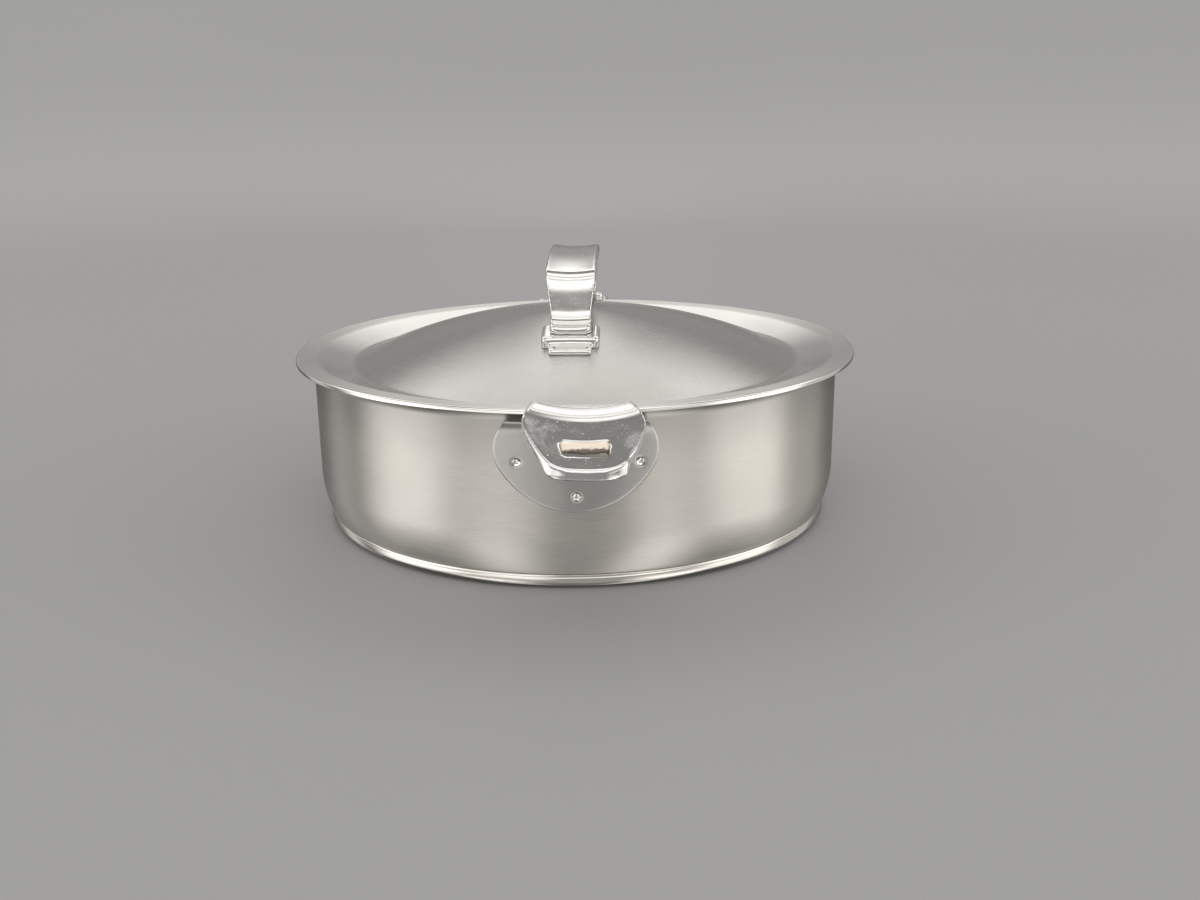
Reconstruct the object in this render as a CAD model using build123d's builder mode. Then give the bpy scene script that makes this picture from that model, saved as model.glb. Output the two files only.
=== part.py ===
from build123d import *
import os
from math import sqrt, sin, cos, radians

# Low casserole (braiser) with two welded side grips and an overhanging lid.
# Millimetres. Origin at the centre of the underside of the base, +Z up,
# side grips along Y (the front one towards -Y).

# ---------------------------------------------------------------- dimensions
# vessel
wall_r = 140.8            # outer radius of the straight wall
wall_t = 0.8              # sheet thickness of wall and floor
wall_top = 81.0           # height where the pouring rim starts to flare
wall_bend_z = 27.8        # height where the wall starts to curve inwards
wall_bend_r = 50.0        # large radius of the lower wall
floor_z = 5.0             # underside of the vessel floor
heel_r = 6.0              # small radius between lower wall and floor
flare_r = 6.0             # radius of the flared pouring rim
flare_deg = 80.0          # how far the rim flares

# layered base
cap_t = 0.6               # steel cap thickness
cap_r = 136.7             # largest radius of the base
cap_top = 7.0             # height of the seam between base and wall
cap_round = 3.6           # radius of the lower edge of the base
core_r = 134.6            # radius of the heat spreading disc

# lid
lid_r = 150.0             # outer radius of the lid
lid_t = 0.8               # sheet thickness of the lid
lid_rim_z = 89.0          # top of the lid edge
lid_lip_h = 2.3           # height of the turned down lid edge
flange_in_r = 139.2       # inner radius of the flat lid flange
flange_in_z = 88.5
groove_r = 6.0            # radius of the rounded groove round the dome
groove_z = 82.6           # bottom of that groove
rise_deg = 18.5           # slope from the groove up to the flange
flange_deg = 2.9          # slope of the flange itself
shoulder_r = 6.0          # radius between slope and flange
lip_r = 1.0               # outer radius of the turned down edge
dome_r = 118.0            # the dome passes through this radius
dome_z = 83.4             # at this height
dome_top = 108.4          # height of the top of the dome

# side handle plate (welded to the wall)
plate_t = 1.4
plate_bend_z = 74.6       # height where the plate turns outwards
plate_bend_r = 8.0
plate_bend_deg = 60.0     # how far it turns
plate_shift = -0.7        # the plate sits a little to the left
spot_d = 3.6              # welded dimples
spot_depth = 0.7
spots = [(-27.4, 62.4), (-0.8, 46.6), (28.0, 62.0)]   # (x, z) on the wall

# side handle grip (cast)
grip_axis_z = 161.0       # the whole grip is dished about this level axis
grip_sweep = 26.0         # half angle of that dish
grip_shift = 1.8          # the wing sits a little off the middle of the plate
grip_roll = 2.2           # leans a little
grip_turn = 3.5           # and is turned a little
grip_half = 26.4          # half of its greatest width
slot_in, slot_out = 169.4, 176.9
slot_half_in, slot_half_out = 11.2, 9.4
slot_lean = 0.36          # its rear wall leans back, so the slot opens upwards
rear_drop = 3.2           # the rear handle is welded on a little lower
rear_roll = 4.8           # and leans more

# lid handle
turn = -2.3               # the lid stands turned a little on the rim
arch_axis_z = 205.0       # the arch is dished about this level axis
arch_half_top = 12.7      # half width on top
arch_half_leg = 10.1      # half width at the foot of each leg
pad_t = 5.2               # thickness of the foot pads on the dome
toe_t = 2.6               # thickness of their toes
foot_half = 14.5          # half width of a pad
nose_half = 10.8          # half width of a toe
foot_in, foot_mid, foot_out = 51.5, 70.5, 78.0


def arc_mid(c, r, a0, a1):
    a = radians((a0 + a1) / 2)
    return (c[0] + r * cos(a), c[1] + r * sin(a))


def polar(c, r, a):
    return (c[0] + r * cos(radians(a)), c[1] + r * sin(radians(a)))


# ------------------------------------------------------------ vessel profile
bend_c = (wall_r - wall_bend_r, wall_bend_z)
heel_cz = floor_z + heel_r
heel_cr = bend_c[0] + sqrt((wall_bend_r - heel_r) ** 2 - (wall_bend_z - heel_cz) ** 2)
heel_c = (heel_cr, heel_cz)
k = (wall_bend_r) / (wall_bend_r - heel_r)
join_o = (bend_c[0] + (heel_cr - bend_c[0]) * k, wall_bend_z + (heel_cz - wall_bend_z) * k)
ki = (wall_bend_r - wall_t) / (wall_bend_r - heel_r)
join_i = (bend_c[0] + (heel_cr - bend_c[0]) * ki, wall_bend_z + (heel_cz - wall_bend_z) * ki)
flare_c = (wall_r + flare_r, wall_top)


def on_arc(c, r, p):
    # point of the circle (c, r) in the direction of p
    d = sqrt((p[0] - c[0]) ** 2 + (p[1] - c[1]) ** 2)
    return (c[0] + (p[0] - c[0]) * r / d, c[1] + (p[1] - c[1]) * r / d)


def mid_on(c, r, a, b):
    return on_arc(c, r, ((a[0] + b[0]) / 2, (a[1] + b[1]) / 2))


flare_o = polar(flare_c, flare_r, 180 - flare_deg)
flare_i = polar(flare_c, flare_r + wall_t, 180 - flare_deg)

with BuildPart() as pot_body:
    with BuildSketch(Plane.XZ) as vessel_section:
        with BuildLine():
            Line((0, floor_z), (heel_cr, floor_z))
            ThreePointArc((heel_cr, floor_z), mid_on(heel_c, heel_r, (heel_cr, floor_z), join_o), join_o)
            ThreePointArc(join_o, mid_on(bend_c, wall_bend_r, join_o, (wall_r, wall_bend_z)), (wall_r, wall_bend_z))
            Line((wall_r, wall_bend_z), (wall_r, wall_top))
            ThreePointArc((wall_r, wall_top), polar(flare_c, flare_r, 180 - flare_deg / 2), flare_o)
            Line(flare_o, flare_i)
            ThreePointArc(flare_i, polar(flare_c, flare_r + wall_t, 180 - flare_deg / 2), (wall_r - wall_t, wall_top))
            Line((wall_r - wall_t, wall_top), (wall_r - wall_t, wall_bend_z))
            ThreePointArc(
                (wall_r - wall_t, wall_bend_z),
                mid_on(bend_c, wall_bend_r - wall_t, (wall_r - wall_t, wall_bend_z), join_i),
                join_i,
            )
            ThreePointArc(
                join_i,
                mid_on(heel_c, heel_r - wall_t, join_i, (heel_cr, floor_z + wall_t)),
                (heel_cr, floor_z + wall_t),
            )
            Line((heel_cr, floor_z + wall_t), (0, floor_z + wall_t))
            Line((0, floor_z + wall_t), (0, floor_z))
        make_face()
    revolve(axis=Axis.Z)
    rim_edges = pot_body.edges().filter_by(GeomType.CIRCLE).sort_by(Axis.Z)[-2:]
    fillet(rim_edges, radius=0.35)

# -------------------------------------------------------------- base: steel cap
seam_r = heel_cr + sqrt(heel_r ** 2 - (heel_cz - cap_top) ** 2)   # wall radius at the seam
cap_in = seam_r
cap_low_c = (cap_r - cap_round, cap_round)
cap_in_round = cap_round - cap_t

with BuildPart() as base_cap:
    with BuildSketch(Plane.XZ) as cap_section:
        with BuildLine():
            Line((0, 0), (cap_low_c[0], 0))
            ThreePointArc((cap_low_c[0], 0), arc_mid(cap_low_c, cap_round, -90, 0), (cap_r, cap_round))
            Line((cap_r, cap_round), (cap_r, 5.45))
            Line((cap_r, 5.45), (cap_r - 0.3, 5.8))
            Line((cap_r - 0.3, 5.8), (cap_r - 0.1, 6.1))
            Line((cap_r - 0.1, 6.1), (cap_r - 0.15, 6.8))
            Line((cap_r - 0.15, 6.8), (cap_r - 0.4, cap_top + 0.05))
            Line((cap_r - 0.4, cap_top + 0.05), (cap_in, cap_top))
            Line((cap_in, cap_top), (cap_in, cap_round + 0.4))
            ThreePointArc(
                (cap_in, cap_round + 0.4),
                arc_mid((cap_in - 3.4, cap_round + 0.4), 3.4, -90, 0),
                (cap_in - 3.4, cap_t),
            )
            Line((cap_in - 3.4, cap_t), (0, cap_t))
            Line((0, cap_t), (0, 0))
        make_face()
    revolve(axis=Axis.Z)

# ------------------------------------------------- base: heat spreading disc
core_heel = (core_r, floor_z)
with BuildPart() as base_core:
    with BuildSketch(Plane.XZ) as core_section:
        with BuildLine():
            Line((0, cap_t), (core_r - 2.4, cap_t))
            Line((core_r - 2.4, cap_t), (core_r, 2.4))
            Line((core_r, 2.4), (core_r, floor_z - 0.2))
            Line((core_r, floor_z - 0.2), (core_r - 3.2, floor_z))
            Line((core_r - 3.2, floor_z), (0, floor_z))
            Line((0, floor_z), (0, cap_t))
        make_face()
    revolve(axis=Axis.Z)

# ------------------------------------------------------------------ lid shell
sag = dome_top - dome_z
dome_rad = (dome_r ** 2 + sag ** 2) / (2 * sag)
dome_cz = dome_top - dome_rad


def dome_at(r, lift=0.0):
    return dome_cz + sqrt((dome_rad + lift) ** 2 - r ** 2)


def down(p, a, t):
    # point t below p, square to a line of slope a degrees
    return (p[0] + t * sin(radians(a)), p[1] - t * cos(radians(a)))


def meet(p, a, q, b):
    # crossing of the line through p at slope a with the line through q at slope b
    ta, tb = sin(radians(a)) / cos(radians(a)), sin(radians(b)) / cos(radians(b))
    r = (q[1] - p[1] + ta * p[0] - tb * q[0]) / (ta - tb)
    return (r, p[1] + ta * (r - p[0]))


groove_cz = groove_z + groove_r
groove_cr = sqrt((dome_rad + groove_r) ** 2 - (groove_cz - dome_cz) ** 2)
dome_end = (groove_cr * dome_rad / (dome_rad + groove_r), dome_cz + (groove_cz - dome_cz) * dome_rad / (dome_rad + groove_r))
dome_end_in = (
    groove_cr * (dome_rad - lid_t) / (dome_rad + groove_r),
    dome_cz + (groove_cz - dome_cz) * (dome_rad - lid_t) / (dome_rad + groove_r),
)
groove_c = (groove_cr, groove_cz)
rise_0 = down(groove_c, rise_deg, groove_r)
corner = meet(rise_0, rise_deg, (flange_in_r, flange_in_z), flange_deg)
half_turn = radians((rise_deg - flange_deg) / 2)
trim = shoulder_r * sin(half_turn) / cos(half_turn)
rise_1 = (corner[0] - trim * cos(radians(rise_deg)), corner[1] - trim * sin(radians(rise_deg)))
flange_0 = (corner[0] + trim * cos(radians(flange_deg)), corner[1] + trim * sin(radians(flange_deg)))
shoulder_c = down(rise_1, rise_deg, shoulder_r)
flange_1 = (lid_r - lip_r, flange_0[1] + (lid_r - lip_r - flange_0[0]) * sin(radians(flange_deg)) / cos(radians(flange_deg)))
lip_c = (lid_r - lip_r, flange_1[1] - lip_r)
lip_in = lip_r - 0.6

with BuildPart() as lid_shell:
    with BuildSketch(Plane.XZ) as lid_section:
        with BuildLine():
            # upper side, from the centre outwards
            ThreePointArc((0, dome_top), (60, dome_at(60)), dome_end)
            ThreePointArc(dome_end, mid_on(groove_c, groove_r, dome_end, rise_0), rise_0)
            Line(rise_0, rise_1)
            ThreePointArc(rise_1, mid_on(shoulder_c, shoulder_r, rise_1, flange_0), flange_0)
            Line(flange_0, flange_1)
            ThreePointArc(flange_1, arc_mid(lip_c, lip_r, 90, 0), (lid_r, lip_c[1]))
            Line((lid_r, lip_c[1]), (lid_r, lid_rim_z - lid_lip_h + 0.3))
            Line((lid_r, lid_rim_z - lid_lip_h + 0.3), (lid_r - 0.25, lid_rim_z - lid_lip_h))
            # under side, back to the centre
            Line((lid_r - 0.25, lid_rim_z - lid_lip_h), (lid_r - lid_t, lid_rim_z - lid_lip_h))
            Line((lid_r - lid_t, lid_rim_z - lid_lip_h), (lid_r - lid_t, lip_c[1]))
            Line((lid_r - lid_t, lip_c[1]), down(flange_1, flange_deg, lid_t))
            Line(down(flange_1, flange_deg, lid_t), down(flange_0, flange_deg, lid_t))
            ThreePointArc(
                down(flange_0, flange_deg, lid_t),
                mid_on(shoulder_c, shoulder_r - lid_t, rise_1, flange_0),
                down(rise_1, rise_deg, lid_t),
            )
            Line(down(rise_1, rise_deg, lid_t), down(rise_0, rise_deg, lid_t))
            ThreePointArc(
                down(rise_0, rise_deg, lid_t),
                mid_on(groove_c, groove_r + lid_t, dome_end, rise_0),
                dome_end_in,
            )
            ThreePointArc(dome_end_in, (60, dome_at(60, -lid_t)), (0, dome_top - lid_t))
            Line((0, dome_top - lid_t), (0, dome_top))
        make_face()
    revolve(axis=Axis.Z)

# --------------------------------------------------- side handle plate (front)
# Outline of the plate seen from the front, as (half width, height):
# a round lower edge, tighter round shoulders, straight upper corners.
plate_low_z = 39.1
plate_side = (34.8, 58.3)
plate_shoulder = (33.9, 78.6)
plate_corner = (30.6, 84.0)
plate_bend_c = (wall_r + plate_t + plate_bend_r, plate_bend_z)


def plate_at(r, deg):
    return (-(plate_bend_c[0] - r * cos(radians(deg))), plate_bend_c[1] + r * sin(radians(deg)))


with BuildPart() as front_handle_plate:
    # sheet that follows the wall, turned outwards along its upper edge
    with BuildSketch(Plane.YZ) as plate_section:
        with BuildLine():
            Line((-wall_r, 38.0), (-wall_r, plate_bend_z))
            ThreePointArc(
                (-wall_r, plate_bend_z),
                plate_at(plate_bend_r + plate_t, plate_bend_deg / 2),
                plate_at(plate_bend_r + plate_t, plate_bend_deg),
            )
            Line(plate_at(plate_bend_r + plate_t, plate_bend_deg), plate_at(plate_bend_r, plate_bend_deg))
            ThreePointArc(
                plate_at(plate_bend_r, plate_bend_deg),
                plate_at(plate_bend_r, plate_bend_deg / 2),
                (-(wall_r + plate_t), plate_bend_z),
            )
            Line((-(wall_r + plate_t), plate_bend_z), (-(wall_r + plate_t), 38.0))
            Line((-(wall_r + plate_t), 38.0), (-wall_r, 38.0))
        make_face()
    revolve(axis=Axis.Z, revolution_arc=17)
    revolve(plate_section.sketch, axis=Axis.Z, revolution_arc=-17)
    # trimmed to the shield shape
    with BuildSketch(Plane.XZ.offset(120).shift_origin((plate_shift, -120, 0))) as plate_shape:
        with BuildLine():
            low = ThreePointArc((-plate_side[0], plate_side[1]), (0, plate_low_z), plate_side)
            TangentArc(plate_side, plate_shoulder, tangent=low % 1)
            Line(plate_shoulder, plate_corner)
            Line(plate_corner, (-plate_corner[0], plate_corner[1]))
            Line((-plate_corner[0], plate_corner[1]), (-plate_shoulder[0], plate_shoulder[1]))
            TangentArc(
                (-plate_side[0], plate_side[1]),
                (-plate_shoulder[0], plate_shoulder[1]),
                tangent=(-(low % 1).X, (low % 1).Y),
            )
        make_face()
    extrude(amount=40, mode=Mode.INTERSECT)
    # dimples of the spot welds
    for sx, sz in spots:
        with BuildSketch(Plane.XZ.offset(130)) as dimple:
            with Locations((sx, sz)):
                Circle(spot_d / 2)
        extrude(amount=30, mode=Mode.SUBTRACT)

with BuildPart() as front_handle_welds:
    for sx, sz in spots:
        with BuildSketch(Plane.XZ.offset(130)) as nugget:
            with Locations((sx, sz)):
                Circle(spot_d / 2)
        extrude(amount=30)
    with BuildSketch(Plane.XY.offset(30)) as nugget_ring:
        Circle(wall_r + plate_t - spot_depth)
        Circle(wall_r, mode=Mode.SUBTRACT)
    extrude(amount=45, mode=Mode.INTERSECT)

# ---------------------------------------------------- side handle grip (front)
grip_top = [(157.9, 88.2), (161.4, 84.9)]
with BuildPart() as grip_blank:
    # section through the middle, (y, z)
    with BuildSketch(Plane.YZ) as grip_section:
        with BuildLine():
            root = Polyline((-141.6, 64.5), (-141.6, 75.5), plate_at(8.75, 30), plate_at(8.7, 51), plate_at(8.7, 60))
            Polyline(plate_at(8.7, 60), (-146.8, 83.0), (-149.6, 83.4))
            lip_foot = Spline((-149.6, 83.4), (-152.2, 84.9), (-152.9, 87.0), tangents=((-1, 0.15), (-0.1, 1)))
            Line((-152.9, 87.0), (-152.9, 89.7))
            ThreePointArc((-152.9, 89.7), (-154.6, 91.3), (-156.2, 90.0))
            scoop = Spline((-156.2, 90.0), (-157.5, 87.3), (-161.0, 84.6), tangents=((-0.25, -1), (-1, -0.53)))
            Line((-161.0, 84.6), (-183.2, 72.88))
            # nearly upright front face, rounded above and below
            ThreePointArc((-183.2, 72.88), (-184.5, 71.95), (-184.9, 70.6))
            Line((-184.9, 70.6), (-184.8, 68.4))
            ThreePointArc((-184.8, 68.4), (-184.1, 67.2), (-182.8, 66.9))
            Spline((-182.8, 66.9), (-178.8, 69.7), (-175.2, 72.1), (-170.5, 75.05), tangents=((1, 0.1), (1, 0.6)))
            Line((-170.5, 75.05), (-165.0, 77.95))
            Spline((-165.0, 77.95), (-157.6, 78.3), (-150.4, 72.6), (-141.6, 64.5), tangents=((1, 0.5), (1, -0.8)))
        make_face()
    grip_axis = Axis((0, 0, grip_axis_z), (0, 1, 0))
    revolve(axis=grip_axis, revolution_arc=grip_sweep)
    revolve(grip_section.sketch, axis=grip_axis, revolution_arc=-grip_sweep)
    # seen from above: narrow neck, wide wing that tapers to the front edge
    with BuildSketch(Plane.XY.offset(50)) as grip_plan:
        with BuildLine():
            side = [
                (19.6, -147.0),
                (20.6, -150.6),
                (23.6, -154.6),
                (grip_half - 0.4, -159.6),
                (grip_half - 0.3, -165.2),
                (23.8, -170.8),
                (20.7, -176.2),
                (17.6, -180.4),
                (14.2, -183.3),
            ]
            Line((0, -140.0), (20.6, -140.0))
            Spline((20.6, -140.0), *side, tangents=((-0.3, -1), (-1, -0.45)))
            Spline(side[-1], (9.6, -184.6), (0, -185.2), tangents=((-1, -0.5), (-1, 0)))
            Spline((0, -185.2), (-9.6, -184.6), (-side[-1][0], side[-1][1]), tangents=((-1, 0), (-1, 0.5)))
            Spline(*[(-x, y) for x, y in reversed(side)], (-20.6, -140.0), tangents=((-1, 0.45), (-0.3, 1)))
            Line((-20.6, -140.0), (0, -140.0))
        make_face()
    extrude(amount=60, mode=Mode.INTERSECT)
    # seen from the front: the tips of the lip are rounded off
    with BuildSketch(Plane.XZ.offset(130)) as grip_front_view:
        with BuildLine():
            Line((-28, 58), (28, 58))
            Line((28, 58), (28, 83.5))
            Spline((28, 83.5), (26.2, 88.6), (22.4, 92.9), (16.5, 95.2), (0, 96.5), tangents=((0, 1), (-1, 0)))
            Spline((0, 96.5), (-16.5, 95.2), (-22.4, 92.9), (-26.2, 88.6), (-28, 83.5), tangents=((-1, 0), (0, -1)))
            Line((-28, 83.5), (-28, 58))
        make_face()
    extrude(amount=60, mode=Mode.INTERSECT)
    # slot through the wing, wider at the top: its rear wall leans back
    slot_mid_z = 78.2
    for level in (69.0, 92.0):
        back = slot_in - (level - slot_mid_z - 1.9) * slot_lean
        grow = (level - slot_mid_z - 1.9) * 0.12
        with BuildSketch(Plane.XY.offset(level)) as slot_shape:
            with BuildLine():
                Polyline(
                    (-slot_half_in - grow, -back),
                    (slot_half_in + grow, -back),
                    (slot_half_out + grow, -slot_out),
                    (-slot_half_out - grow, -slot_out),
                    close=True,
                )
            make_face()
            fillet(slot_shape.vertices(), radius=1.6)
    loft(ruled=True, mode=Mode.SUBTRACT)


def grip_on(plate, roll):
    with BuildPart() as fitted:
        leaned = grip_blank.part.translate((0, 150, -80)).rotate(Axis.Y, roll).rotate(Axis.Z, grip_turn)
        add(leaned.translate((grip_shift, -150, 80)))
        # the root is fitted to the plate
        add(plate, mode=Mode.SUBTRACT)
        with BuildSketch(Plane.XY.offset(50)) as wall_clear:
            Circle(wall_r + plate_t)
        extrude(amount=24.4, mode=Mode.SUBTRACT)
    return fitted.part


with BuildPart() as front_handle_grip:
    add(grip_on(front_handle_plate.part, grip_roll))

# -------------------------------------------------------------- rear handle
with BuildPart() as rear_handle_plate:
    add(front_handle_plate.part.translate((0, 0, -rear_drop)), rotation=(0, 0, 180))
with BuildPart() as rear_handle_welds:
    add(front_handle_welds.part.translate((0, 0, -rear_drop)), rotation=(0, 0, 180))
with BuildPart() as rear_handle_grip:
    add(grip_on(front_handle_plate.part, rear_roll).translate((0, 0, -rear_drop)), rotation=(0, 0, 180))

# -------------------------------------------------------------- lid handle
# Each foot is a thick pad with a thinner, narrower toe, lying on the dome.
with BuildPart() as foot_pads:
    with BuildSketch(Plane.XY.offset(80)) as pad_plan:
        with Locations((0, -(foot_in + foot_mid) / 2), (0, (foot_in + foot_mid) / 2)):
            RectangleRounded(2 * foot_half, foot_mid - foot_in, 3.4)
    extrude(amount=40)
    with BuildSketch(Plane.XZ) as pad_layer:
        with BuildLine():
            ThreePointArc((0, dome_top), (45, dome_at(45)), (90, dome_at(90)))
            Line((90, dome_at(90)), (90, dome_at(90, pad_t)))
            ThreePointArc((90, dome_at(90, pad_t)), (45, dome_at(45, pad_t)), (0, dome_top + pad_t))
            Line((0, dome_top + pad_t), (0, dome_top))
        make_face()
    revolve(axis=Axis.Z, mode=Mode.INTERSECT)

with BuildPart() as foot_toes:
    with BuildSketch(Plane.XY.offset(80)) as toe_plan:
        with Locations((0, -(foot_in + 6 + foot_out) / 2), (0, (foot_in + 6 + foot_out) / 2)):
            RectangleRounded(2 * nose_half, foot_out - foot_in - 6, 2.6)
    extrude(amount=40)
    with BuildSketch(Plane.XZ) as toe_layer:
        with BuildLine():
            ThreePointArc((0, dome_top), (45, dome_at(45)), (90, dome_at(90)))
            Line((90, dome_at(90)), (90, dome_at(90, toe_t)))
            ThreePointArc((90, dome_at(90, toe_t)), (45, dome_at(45, toe_t)), (0, dome_top + toe_t))
            Line((0, dome_top + toe_t), (0, dome_top))
        make_face()
    revolve(axis=Axis.Z, mode=Mode.INTERSECT)

with BuildPart() as foot_pair:
    add(foot_pads.part)
    add(foot_toes.part)
    pad_top = foot_pair.edges().filter_by(lambda e: e.center().Z > dome_at(sqrt(e.center().X ** 2 + e.center().Y ** 2), pad_t * 0.9))
    fillet(pad_top, radius=1.5)
    toe_top = foot_pair.edges().filter_by(
        lambda e: abs(e.center().Y) > foot_mid + 0.5
        and e.center().Z > dome_at(sqrt(e.center().X ** 2 + e.center().Y ** 2), toe_t * 0.9)
    )
    fillet(toe_top, radius=1.0)

front_foot_solid = foot_pair.part.solids().sort_by(Axis.Y)[0]
rear_foot_solid = foot_pair.part.solids().sort_by(Axis.Y)[-1]

with BuildPart() as lid_handle_front_foot:
    add(front_foot_solid, rotation=(0, 0, turn))
with BuildPart() as lid_handle_rear_foot:
    add(rear_foot_solid, rotation=(0, 0, turn))

# The arch is one bent strap; its ends turn outwards and lie on the pads.
with BuildPart() as arch_blank:
    with BuildSketch(Plane.YZ) as arch_section:
        with BuildLine():
            ThreePointArc((-47.0, 135.6), (0, 140.0), (47.0, 135.6))
            for s in (-1, 1):
                # outer line from the crown down to the turned out end
                Spline((s * 47.0, 135.6), (s * 53.4, 130.8), (s * 55.4, 124.0), tangents=((s, -0.19), (s * 0.165, -1)))
                Line((s * 55.4, 124.0), (s * 56.7, 116.2))
                Spline((s * 56.7, 116.2), (s * 58.6, 112.2), (s * 62.4, 110.5), tangents=((s * 0.165, -1), (s, -0.235)))
                Line((s * 62.4, 110.5), (s * 65.6, 109.75))
                ThreePointArc((s * 65.6, 109.75), (s * 66.5, 109.3), (s * 66.9, 108.4))
                Line((s * 66.9, 108.4), (s * 66.9, 100.0))
                # inner line
                Line((s * 66.9, 100.0), (s * 53.1, 100.0))
                Line((s * 53.1, 100.0), (s * 53.1, 112.0))
                Spline((s * 53.1, 112.0), (s * 51.8, 124.0), tangents=((0, 1), (-s * 0.165, 1)))
                Spline((s * 51.8, 124.0), (s * 50.1, 129.2), (s * 45.6, 132.3), tangents=((-s * 0.165, 1), (-s, 0.19)))
            ThreePointArc((-45.6, 132.3), (0, 136.5), (45.6, 132.3))
        make_face()
    arch_axis = Axis((0, 0, arch_axis_z), (0, 1, 0))
    revolve(axis=arch_axis, revolution_arc=14)
    revolve(arch_section.sketch, axis=arch_axis, revolution_arc=-14)
    with BuildSketch(Plane.XZ.offset(-80)) as arch_front:
        with BuildLine():
            Polyline(
                (-arch_half_top, 143.0),
                (arch_half_top, 143.0),
                (arch_half_top, 134.5),
                (arch_half_leg, 115.5),
                (arch_half_leg + 0.3, 111.0),
                (arch_half_leg + 0.3, 98.0),
                (-arch_half_leg - 0.3, 98.0),
                (-arch_half_leg - 0.3, 111.0),
                (-arch_half_leg, 115.5),
                (-arch_half_top, 134.5),
                close=True,
            )
        make_face()
    extrude(amount=160, mode=Mode.INTERSECT)
    with BuildSketch(Plane.XZ) as foot_cut:
        with BuildLine():
            Line((0, 60), (90, 60))
            Line((90, 60), (90, dome_at(90, pad_t)))
            ThreePointArc((90, dome_at(90, pad_t)), (45, dome_at(45, pad_t)), (0, dome_top + pad_t))
            Line((0, dome_top + pad_t), (0, 60))
        make_face()
    revolve(axis=Axis.Z, mode=Mode.SUBTRACT)
    # seen from above, the turned out ends have round corners
    with BuildSketch(Plane.XY.offset(90)) as arch_plan:
        Rectangle(2 * arch_half_top + 1, 2 * 58.0)
        RectangleRounded(2 * (arch_half_leg + 0.3), 2 * 66.9, 3.8)
    extrude(amount=60, mode=Mode.INTERSECT)

with BuildPart() as lid_handle_arch:
    add(arch_blank.part, rotation=(0, 0, turn))

# ---------------------------------------------------------------------- files
pot_body.part.label = "pot_body"
base_core.part.label = "base_core"
base_cap.part.label = "base_cap"
front_handle_plate.part.label = "front_handle_plate"
front_handle_welds.part.label = "front_handle_welds"
front_handle_grip.part.label = "front_handle_grip"
rear_handle_plate.part.label = "rear_handle_plate"
rear_handle_welds.part.label = "rear_handle_welds"
rear_handle_grip.part.label = "rear_handle_grip"
lid_shell.part.label = "lid_shell"
lid_handle_arch.part.label = "lid_handle_arch"
lid_handle_front_foot.part.label = "lid_handle_front_foot"
lid_handle_rear_foot.part.label = "lid_handle_rear_foot"

os.makedirs("parts", exist_ok=True)
export_step(pot_body.part, "parts/pot_body.step")
export_step(base_core.part, "parts/base_core.step")
export_step(base_cap.part, "parts/base_cap.step")
export_step(front_handle_plate.part, "parts/front_handle_plate.step")
export_step(front_handle_welds.part, "parts/front_handle_welds.step")
export_step(front_handle_grip.part, "parts/front_handle_grip.step")
export_step(rear_handle_plate.part, "parts/rear_handle_plate.step")
export_step(rear_handle_welds.part, "parts/rear_handle_welds.step")
export_step(rear_handle_grip.part, "parts/rear_handle_grip.step")
export_step(lid_shell.part, "parts/lid_shell.step")
export_step(lid_handle_arch.part, "parts/lid_handle_arch.step")
export_step(lid_handle_front_foot.part, "parts/lid_handle_front_foot.step")
export_step(lid_handle_rear_foot.part, "parts/lid_handle_rear_foot.step")
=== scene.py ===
import math
import bmesh
import bpy
import numpy as np
from mathutils import Matrix, Vector


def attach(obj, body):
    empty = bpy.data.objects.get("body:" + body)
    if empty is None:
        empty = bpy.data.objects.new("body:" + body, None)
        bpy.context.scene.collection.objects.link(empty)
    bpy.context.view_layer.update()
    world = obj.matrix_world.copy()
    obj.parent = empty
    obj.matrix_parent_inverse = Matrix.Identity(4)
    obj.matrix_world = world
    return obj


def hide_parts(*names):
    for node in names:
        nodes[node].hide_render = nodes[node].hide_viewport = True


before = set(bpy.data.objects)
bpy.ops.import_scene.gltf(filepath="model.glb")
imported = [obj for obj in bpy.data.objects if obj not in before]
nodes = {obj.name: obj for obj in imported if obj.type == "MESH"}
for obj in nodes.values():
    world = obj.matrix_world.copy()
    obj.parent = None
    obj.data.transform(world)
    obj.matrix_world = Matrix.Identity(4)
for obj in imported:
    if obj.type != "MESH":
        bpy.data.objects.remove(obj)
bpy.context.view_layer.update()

MM = 0.001


# ------------------------------------------------------------------ mesh tools
def new_object(name, verts, faces, body, slot, stands_for=()):
    mesh = bpy.data.meshes.new(name)
    mesh.from_pydata([tuple(map(float, v)) for v in verts], [], [tuple(map(int, f)) for f in faces])
    mesh.validate()
    mesh.update()
    obj = bpy.data.objects.new(name, mesh)
    bpy.context.scene.collection.objects.link(obj)
    finish_piece(obj, body, stands_for)
    return obj


def finish_piece(obj, body, stands_for=(), sharp=None):
    obj.data.polygons.foreach_set("use_smooth", [True] * len(obj.data.polygons))
    if sharp is not None:
        obj.data.set_sharp_from_angle(angle=math.radians(sharp))
    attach(obj, body)
    if stands_for:
        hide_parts(*stands_for)


def arc(c, r, a0, a1, n):
    out = []
    for i in range(n + 1):
        a = math.radians(a0 + (a1 - a0) * i / n)
        out.append((c[0] + r * math.cos(a), c[1] + r * math.sin(a)))
    return out


def polar(c, r, a):
    return (c[0] + r * math.cos(math.radians(a)), c[1] + r * math.sin(math.radians(a)))


def angle_of(c, p):
    return math.degrees(math.atan2(p[1] - c[1], p[0] - c[0]))


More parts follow.
